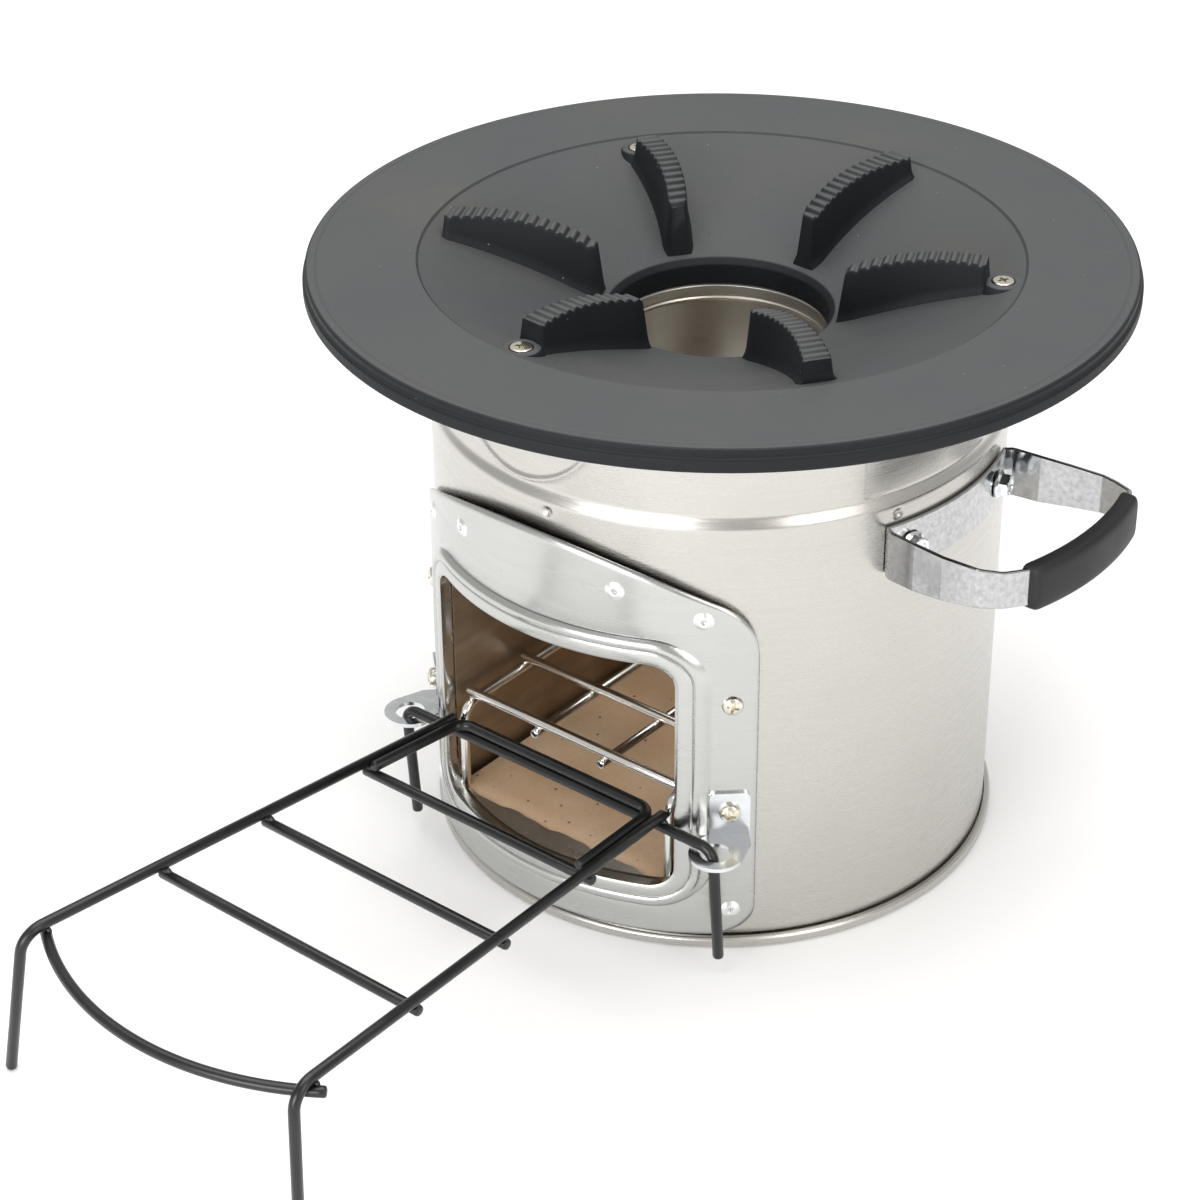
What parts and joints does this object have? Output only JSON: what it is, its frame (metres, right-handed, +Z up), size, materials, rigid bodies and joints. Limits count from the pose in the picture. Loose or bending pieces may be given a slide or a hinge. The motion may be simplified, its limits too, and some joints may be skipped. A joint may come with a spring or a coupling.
{
  "type": "rocket stove",
  "caption": "Round steel rocket stove with a wide cast cooktop, framed front fuel door, wire fire grate, lift-off wire log rack and side carrying handles.",
  "frame": {"origin": "centre of the base underside, on the stove axis, at floor level", "axes": "+Z up along the stove axis, -Y towards the fuel door and log rack, +X towards the handle on the right seen from the door"},
  "size_m": [0.4068, 0.5742, 0.2996],
  "materials": {
    "stainless": "satin",
    "cast_iron": "matte sand-cast",
    "heat_tinted_sheet": "heat-tinted satin",
    "fireclay": "unglazed",
    "grip_black": "matte",
    "rack_black": "satin",
    "bright_steel": "bright",
    "zinc": "zinc plated"
  },
  "bodies": {
    "stove": {"outer_shell": "stainless", "base_pan": "stainless", "deck_ring": "zinc", "cooktop": "cast_iron", "cooktop_fin_1": "cast_iron", "cooktop_fin_2": "cast_iron", "cooktop_fin_3": "cast_iron", "cooktop_fin_4": "cast_iron", "cooktop_fin_5": "cast_iron", "cooktop_fin_6": "cast_iron", "cooktop_screw_1": "zinc", "cooktop_screw_2": "zinc", "cooktop_screw_3": "zinc", "combustion_chamber": "stainless", "firebox": "heat_tinted_sheet", "floor_tile": "fireclay", "front_sill": "bright_steel", "door_frame": "stainless", "frame_rivet_1": "bright_steel", "frame_rivet_2": "bright_steel", "frame_rivet_3": "bright_steel", "frame_rivet_4": "bright_steel", "frame_rivet_5": "bright_steel", "frame_rivet_6": "bright_steel", "frame_screw_1": "zinc", "frame_screw_2": "zinc", "rack_lug_left": "zinc", "lug_screw_left": "zinc", "handle_strap_left": "zinc", "handle_grip_left": "grip_black", "handle_bolt_left_1": "zinc", "handle_bolt_left_2": "zinc", "rack_lug_right": "zinc", "lug_screw_right": "zinc", "handle_strap_right": "zinc", "handle_grip_right": "grip_black", "handle_bolt_right_1": "zinc", "handle_bolt_right_2": "zinc"},
    "log_rack": {"rack_rail_left": "rack_black", "rack_rail_right": "rack_black", "rack_peg_rod": "rack_black", "rack_loop": "rack_black", "rack_bar_1": "rack_black", "rack_bar_2": "rack_black", "rack_bar_3": "rack_black", "rack_bow": "rack_black"},
    "fire_grate": {"grate_side_left": "bright_steel", "grate_side_right": "bright_steel", "grate_run_left": "bright_steel", "grate_run_right": "bright_steel", "grate_cross_1": "bright_steel", "grate_cross_2": "bright_steel", "grate_cross_3": "bright_steel", "grate_cross_4": "bright_steel"}
  },
  "joints": [
    {"name": "rack_lift", "type": "slide", "parent": "stove", "child": "log_rack", "axis": [0, 0, 1], "range_m": [0, 0.06]},
    {"name": "grate_slide", "type": "slide", "parent": "stove", "child": "fire_grate", "axis": [0, 1, 0], "range_m": [0, 0.03]}
  ]
}
